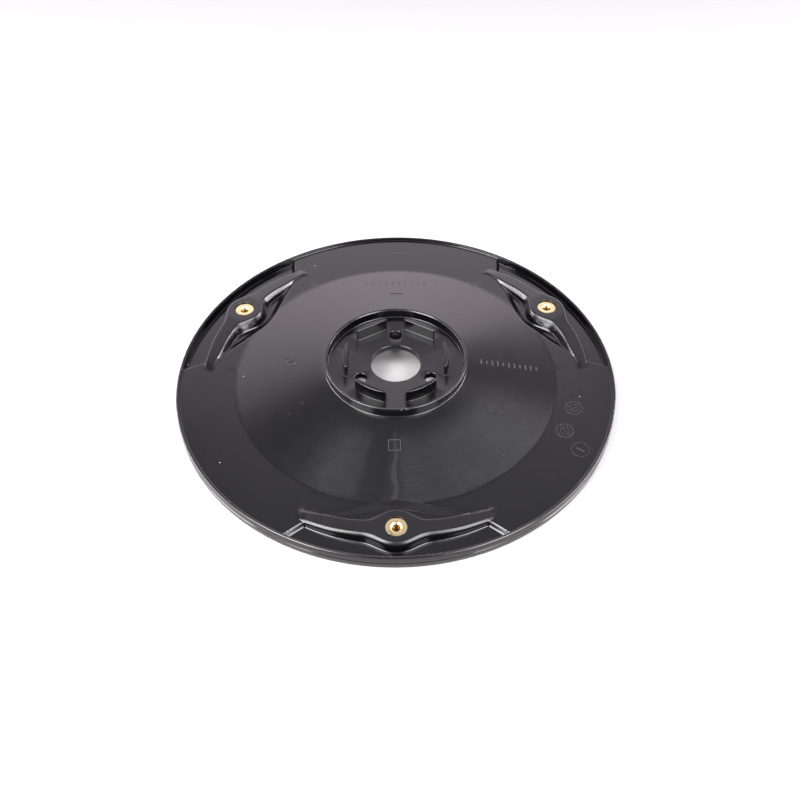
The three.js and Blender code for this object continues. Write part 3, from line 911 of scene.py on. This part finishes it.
def wear_group():
    """Rubbed edges: between two radii about the axis and above a height, broken up by noise."""
    inputs = {"Vector": None, "Inner": 0.0, "Outer": 1.0, "Above": 0.0}
    tree, w, given, result = new_group("rubbed_edge", inputs, ("Mask",))
    x, y, z = w.split(given["Vector"])
    radius = w.vector_math("LENGTH", w.join(x, y, 0.0))
    inside = w.math("MULTIPLY", w.math("GREATER_THAN", radius, given["Inner"]),
                    w.math("LESS_THAN", radius, given["Outer"]))
    high = w.math("MULTIPLY", inside, w.math("GREATER_THAN", z, given["Above"]))
    nicks = w.math("MULTIPLY", w.step(w.noise(given["Vector"], 900.0, 3.0, 0.7), 0.57, 0.66),
                   w.step(w.noise(given["Vector"], 60.0, 2.0), 0.5, 0.62))
    w.feed(result["Mask"], w.math("MULTIPLY", high, nicks))
    return tree


GRAIN, SCRATCHES, DUST = grain_group(), scratch_group(), dust_group()
TURNING, WEAR = turning_group(), wear_group()


def new_material(name):
    material = bpy.data.materials.new(name)
    material.use_nodes = True
    wiring = Wiring(material.node_tree)
    return material, wiring, wiring.nodes["Principled BSDF"]


def object_place(w):
    return w.nodes.new("ShaderNodeTexCoord").outputs["Object"]


BLACK = (0.0012, 0.0011, 0.0014, 1)
ETCHED = (0.014, 0.0135, 0.0145, 1)
RUBBED = (0.075, 0.072, 0.075, 1)
DUST_GREY = (0.32, 0.31, 0.30, 1)
BRASS = (0.70, 0.57, 0.32, 1)
# Colour of the brass's tarnish, and of the painted shade deep in the bore
TARNISH_AND_SHADE = (0.28, 0.17, 0.06, 1)
SHELL_ROUGHNESS = 0.12
HUB_ROUGHER = 0.05
PAD_ROUGHER = 0.13
CONE_ROUGHNESS = 0.15
ETCHED_ROUGHNESS = 0.45
PLASTIC_IOR = 1.5
PLASTIC_RELIEF = 0.00003   # depth of the finest relief, in metres
BRASS_RELIEF = 0.00002


def plastic_surface(w, shader, place, base, roughness, grains, scratches=0.35):
    """Colour and roughness that every finish of the moulding shares. Returns its relief, in which
    `grains` is the height of the grain."""
    shader.inputs["IOR"].default_value = PLASTIC_IOR
    grain = w.group(GRAIN, Vector=place)
    scratch = w.group(SCRATCHES, Vector=place, Amount=scratches)["Mask"]
    dust = w.group(DUST, Vector=place)["Mask"]
    lip = w.group(WEAR, Vector=place, Inner=LIP_INSIDE * MM, Outer=1.0, Above=(RIM_HEIGHT - 1) * MM)["Mask"]
    collar = w.group(WEAR, Vector=place, Inner=(COLLAR_IN - 0.2) * MM, Outer=(COLLAR_OUT + 0.2) * MM,
                     Above=(COLLAR_TOP - 0.9) * MM)["Mask"]
    worn = w.math("MAXIMUM", collar, w.math("MULTIPLY", lip, 0.6))
    colour = w.mix(w.math("MULTIPLY", scratch, 0.25), base, RUBBED)
    colour = w.mix(w.math("MULTIPLY", worn, 0.8), colour, RUBBED)
    w.feed(shader.inputs["Base Color"], w.mix(dust, colour, DUST_GREY))
    cloudy = w.math("MULTIPLY_ADD", w.math("SUBTRACT", grain["Cloud"], 0.5), 0.16, roughness)
    rough = w.math("ADD", cloudy, w.math("MULTIPLY", w.math("MAXIMUM", scratch, worn), 0.3))
    w.feed(shader.inputs["Roughness"], w.math("MAXIMUM", rough, w.math("MULTIPLY", dust, 0.8)))
    height = w.math("MULTIPLY_ADD", grain["Cloud"], 2.0, w.math("MULTIPLY", grain["Grain"], grains))
    height = w.math("SUBTRACT", height, w.math("MULTIPLY", scratch, 0.3))
    return w.math("ADD", height, w.math("MULTIPLY", dust, 2.0))


def plastic_material():
    """Black plastic, polished on the shell, duller in the hub and on the tops of the pads."""
    material, w, shader = new_material("black_plastic")
    place = object_place(w)
    x, y, z = w.split(place)
    radius = w.vector_math("LENGTH", w.join(x, y, 0.0))
    raised = w.step(z, (BAND_TOP + 0.5) * MM, (BAND_TOP + 0.9) * MM)
    past_cone = w.step(radius, (CONE_EDGE + 1) * MM, (CONE_EDGE + 3) * MM)
    inside_lip = w.step(radius, (LIP_INSIDE - 1.5) * MM, (LIP_INSIDE - 2.5) * MM)
    on_pad = w.math("MULTIPLY", raised, w.math("MULTIPLY", past_cone, inside_lip))
    in_hub = w.math("MULTIPLY", w.step(radius, (COLLAR_OUT + 0.8) * MM, (COLLAR_OUT + 0.4) * MM),
                    w.step(z, (HUB_TOP - 1.2) * MM, (HUB_TOP - 0.8) * MM))
    roughness = w.math("MULTIPLY_ADD", in_hub, HUB_ROUGHER, SHELL_ROUGHNESS)
    roughness = w.math("MULTIPLY_ADD", on_pad, PAD_ROUGHER, roughness)
    height = plastic_surface(w, shader, place, BLACK, roughness, w.math("MULTIPLY_ADD", on_pad, 1.4, 0.5))
    w.feed(shader.inputs["Normal"], w.bump(height, PLASTIC_RELIEF, 0.2))
    return material


def mark_material():
    """The same plastic where the mould was etched: matt, and so a little paler than its surroundings."""
    material, w, shader = new_material("etched_plastic")
    height = plastic_surface(w, shader, object_place(w), ETCHED, ETCHED_ROUGHNESS, 3.0)
    w.feed(shader.inputs["Normal"], w.bump(height, PLASTIC_RELIEF, 0.5))
    return material


# Painted reflection: paler wedges painted on the near half of the cone where its reflections fall: degrees to
# the right of -Y, and share of the painted sheen.
CONE_SHEEN_WEDGES = [(-90, 0.0), (-52, 0.0), (-38, 0.1), (-26, 0.62), (-17, 0.5), (-13, 0.12), (-5, 0.1),
             (-1.6, 0.3), (-0.6, 1.0), (0.4, 1.0), (1.4, 0.3), (4, 0.6), (16, 0.55), (24, 0.7),
             (48, 0.95), (68, 0.55), (84, 0.1)]
# Colour of the painted sheen, paler than the black plastic
PAINTED_SHEEN = (0.0112, 0.0111, 0.0122, 1)


def painted_cone_sheen(w, place, radius, streak):
    """Painted reflection: paler wedges by the angle from -Y on the near half of the cone, which noise bends.
    """
    x, y, _ = w.split(place)
    bend = w.math("MULTIPLY", w.math("SUBTRACT", w.noise(place, 35.0, 3.0), 0.5), 0.2)
    angle = w.math("ADD", w.math("ARCTAN2", x, w.math("MULTIPLY", y, -1.0)), bend)
    share = w.math("DIVIDE", w.math("ADD", angle, math.pi / 2), math.pi, clamp=True)
    wedges = w.ramp(share, [((degrees + 90) / 180, (level,) * 3) for degrees, level in CONE_SHEEN_WEDGES])
    sheen = w.math("MULTIPLY", wedges, w.step(y, 0.0, -0.03))
    sheen = w.math("MULTIPLY", sheen, w.step(radius, COLLAR_OUT + 3, COLLAR_OUT + 20))
    return w.math("MULTIPLY", sheen, w.math("MULTIPLY_ADD", streak, 0.7, 0.65))


def turned_plastic_material():
    """The cone. Its mould was turned, so fine rings spread a reflection towards and away from the
    axis."""
    material, w, shader = new_material("turned_plastic")
    place = object_place(w)
    x, y, _ = w.split(place)
    radius = w.math("DIVIDE", w.vector_math("LENGTH", w.join(x, y, 0.0)), MM)
    turning = w.group(TURNING, Radius=radius, Vector=place, Rings=5.0, Spread=5.0)
    # Painted reflection: paler wedges on the near half of the cone, mixed into its colour
    sheen = painted_cone_sheen(w, place, radius, w.step(turning["Rings"], 0.35, 0.7))
    height = plastic_surface(w, shader, place, w.mix(sheen, BLACK, PAINTED_SHEEN), CONE_ROUGHNESS, 0.4, 0.8)
    height = w.math("ADD", height, w.math("MULTIPLY", turning["Rings"], 2.2))
    w.feed(shader.inputs["Normal"], w.bump(height, PLASTIC_RELIEF, 0.35))
    shader.inputs["Anisotropic"].default_value = 0.45
    shader.inputs["Anisotropic Rotation"].default_value = 0.25
    return material


def brass_material():
    """Turned brass: rings on the face, a thread darkened deeper in the bore as painted shade, and a little
    tarnish.
    """
    material, w, shader = new_material("turned_brass")
    place = object_place(w)
    attribute = w.nodes.new("ShaderNodeAttribute")
    attribute.attribute_name = "turning"
    turning = w.group(TURNING, Radius=attribute.outputs["Fac"], Vector=place, Rings=7.0, Spread=1.0)
    grain = w.group(GRAIN, Vector=place, Grains=4000.0, Clouds=400.0)
    scratch = w.group(SCRATCHES, Vector=place, Amount=0.7)["Mask"]
    # Painted shade: the brass is darkened deeper in the bore, below its face
    deep_shade = w.step(w.split(place)[2], (INSERT_FACE - 0.7) * MM, (INSERT_FACE - 1.6) * MM)
    tarnish_and_shade = w.math("MAXIMUM", w.math("MULTIPLY", deep_shade, 0.75), w.step(grain["Cloud"], 0.55, 0.8))
    w.feed(shader.inputs["Base Color"], w.mix(tarnish_and_shade, BRASS, TARNISH_AND_SHADE))
    rough = w.math("MULTIPLY_ADD", turning["Bands"], 0.14, 0.16)
    w.feed(shader.inputs["Roughness"], w.math("ADD", rough, w.math("MULTIPLY", scratch, 0.15)))
    shader.inputs["Metallic"].default_value = 1.0
    height = w.math("ADD", turning["Rings"], w.math("MULTIPLY", grain["Grain"], 0.3))
    w.feed(shader.inputs["Normal"], w.bump(height, BRASS_RELIEF, 0.4))
    return material


# ---------------------------------------- the object

plastic = plastic_material()
turned_plastic = turned_plastic_material()
brass = brass_material()

disc = make_piece("moulded_disc_body", disc_skin())
carve(disc, tab_solids(), "UNION")
carve(disc, screw_cutters(), "DIFFERENCE")
carve(disc, bore_cutters(), "DIFFERENCE")
disc.data.materials.clear()
disc.data.materials.append(plastic)
disc.data.materials.append(turned_plastic)
assign_cone(disc.data)
disc.data.shade_smooth()
disc.data.set_sharp_from_angle(angle=math.radians(40))
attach(disc, "root")
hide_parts("moulded_disc")

for name, mesh, material in (("mould_marks", etched_marks(), mark_material()),
                             ("ejector_pin_rings", pin_rings(), plastic)):
    marks = make_piece(name, mesh, material)
    mesh.set_sharp_from_angle(angle=math.radians(30))
    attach(marks, "root")

for node, centre in zip(INSERTS, INSERT_CENTRES):
    insert = make_piece(node.replace("threaded", "turned"), insert_mesh(node, centre), brass)
    insert.data.set_sharp_from_angle(angle=math.radians(40))
    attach(insert, "root")
    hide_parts(node)

# ---------------------------------------- floor, light, camera

FLOOR_HALF = 1300.0
FLOOR_DROP = 0.05
PAPER_SEEN = (0.36, 0.354, 0.35, 1.0)     # paler paper would wash out under this much light
PAPER_BOUNCE = (0.33, 0.32, 0.31, 1.0)


def paper_material():
    """Matt paper with a faint mottle; a little darker to every ray but the camera's own."""
    material, w, shader = new_material("paper")
    seen = w.nodes.new("ShaderNodeLightPath").outputs["Is Camera Ray"]
    fibre = w.noise(object_place(w), 300.0, 3.0)
    seen_tone = w.mix(fibre, PAPER_SEEN, tuple(0.99 * c for c in PAPER_SEEN))
    w.feed(shader.inputs["Base Color"], w.mix(seen, PAPER_BOUNCE, seen_tone))
    shader.inputs["Roughness"].default_value = 1.0
    shader.inputs["Specular IOR Level"].default_value = 0.0
    return material


corners = np.array([[-1, -1, 0], [1, -1, 0], [1, 1, 0], [-1, 1, 0]]) * FLOOR_HALF - (0, 0, FLOOR_DROP)
floor = make_piece("floor", make_mesh("floor", corners, np.array([[0, 1, 2, 3]])), paper_material())

LIGHT_DISTANCE = 0.8
# Azimuth and elevation in degrees, width and height in metres, radiance
SOFTBOXES = {
    "strip_right": (-1, 9, 0.85, 0.22, 20),
    "front_right": (-46, 33, 0.4, 0.6, 10),
    "strip_left": (183, 9, 0.85, 0.22, 20),
    "front_left": (222, 33, 0.42, 0.6, 15),
    "overhead_right": (-26, 62, 0.34, 0.36, 12),
    "overhead_left": (207, 62, 0.40, 0.36, 15),
}


def softbox(name, azimuth, elevation, width, height, radiance):
    """A rectangular light aimed at the disc. Its power is radiance x area x pi."""
    light = bpy.data.lights.new(name, "AREA")
    light.shape, light.size, light.size_y = "RECTANGLE", width, height
    light.energy = radiance * width * height * math.pi
    lamp = bpy.data.objects.new(name, light)
    bpy.context.scene.collection.objects.link(lamp)
    a, e = math.radians(azimuth), math.radians(elevation)
    reach = LIGHT_DISTANCE * math.cos(e)
    lamp.location = (reach * math.cos(a), reach * math.sin(a), LIGHT_DISTANCE * math.sin(e))
    lamp.rotation_euler = (-lamp.location).to_track_quat("-Z", "Y").to_euler()


for name, values in SOFTBOXES.items():
    softbox(name, *values)

world = bpy.data.worlds.new("studio")
bpy.context.scene.world = world
world.use_nodes = True
sky = Wiring(world.node_tree)

# Share of the way up from the horizon, and the studio's tone there
SKY = [(0.0, (1.0, 0.89, 1.0)), (0.31, (0.96, 0.86, 0.96)), (0.44, (0.74, 0.68, 0.76)),
       (0.55, (0.36, 0.345, 0.39)), (0.65, (0.24, 0.235, 0.27)), (0.8, (0.2, 0.195, 0.23)),
       (0.9, (0.31, 0.305, 0.34)), (1.0, (0.36, 0.35, 0.39))]
SKY_STRENGTH = 2.55
BACKDROP = (0.93, 0.925, 0.92, 1.0)       # what the camera itself sees past the floor


def window(azimuth, elevation, spans, soft):
    """1 inside a rectangle of azimuth and elevation, falling to 0 over `soft` degrees outside."""
    inside = 1.0
    for value, (low, high) in zip((azimuth, elevation), spans):
        for outer, inner in ((low - soft, low + soft), (high + soft, high - soft)):
            inside = sky.math("MULTIPLY", inside, sky.step(value, outer, inner))
    return inside


def dimmed(strength, mask, amount):
    """The strength with a share of it taken away where the mask is 1."""
    return sky.math("MULTIPLY", strength, sky.math("SUBTRACT", 1.0, sky.math("MULTIPLY", mask, amount)))


dx, dy, dz = sky.split(sky.nodes.new("ShaderNodeTexCoord").outputs["Generated"])
azimuth = sky.math("MULTIPLY", sky.math("ARCTAN2", dy, dx), 180 / math.pi)
elevation = sky.math("MULTIPLY", sky.math("ARCSINE", dz), 180 / math.pi)
sky_tone = sky.ramp(sky.math("DIVIDE", elevation, 90.0), SKY)
dark_card = window(azimuth, elevation, ((42, 72), (28, 46)), 4)
grey_card = window(azimuth, elevation, ((108, 145), (45, 59)), 5)
front = sky.math("MULTIPLY", sky.step(dy, -0.05, -0.45), sky.step(elevation, 50, 42))
lamp_glow = window(azimuth, elevation, ((35, 60), (49, 62)), 6)
strength = dimmed(dimmed(dimmed(1.0, dark_card, 0.6), grey_card, 0.35), front, 0.62)
strength = sky.math("ADD", sky.math("MULTIPLY", strength, SKY_STRENGTH), lamp_glow)

background = sky.nodes["Background"]
seen = sky.nodes.new("ShaderNodeLightPath").outputs["Is Camera Ray"]
sky.feed(background.inputs["Color"], sky.mix(seen, sky_tone, BACKDROP))
unseen = sky.math("SUBTRACT", 1.0, seen)
sky.feed(background.inputs["Strength"], sky.math("MULTIPLY_ADD", strength, unseen, seen))

CAMERA_TARGET = Vector((0.0022, -0.0133, 0.0))
CAMERA_ELEVATION = math.radians(47.931)
CAMERA_DISTANCE = 0.50353
CAMERA_ROLL = math.radians(-0.39)
camera_data = bpy.data.cameras.new("camera")
camera_data.lens, camera_data.sensor_width = 41.283, 36.0
camera_data.clip_start, camera_data.clip_end = 0.01, 50
camera = bpy.data.objects.new("camera", camera_data)
bpy.context.scene.collection.objects.link(camera)
back = Vector((0, -math.cos(CAMERA_ELEVATION), math.sin(CAMERA_ELEVATION)))
camera.matrix_world = (Matrix.Translation(CAMERA_TARGET + CAMERA_DISTANCE * back)
                       @ Matrix.Rotation(math.pi / 2 - CAMERA_ELEVATION, 4, "X")
                       @ Matrix.Rotation(CAMERA_ROLL, 4, "Z"))
bpy.context.scene.camera = camera
bpy.context.scene.view_settings.view_transform = "Standard"
bpy.context.scene.view_settings.look = "None"
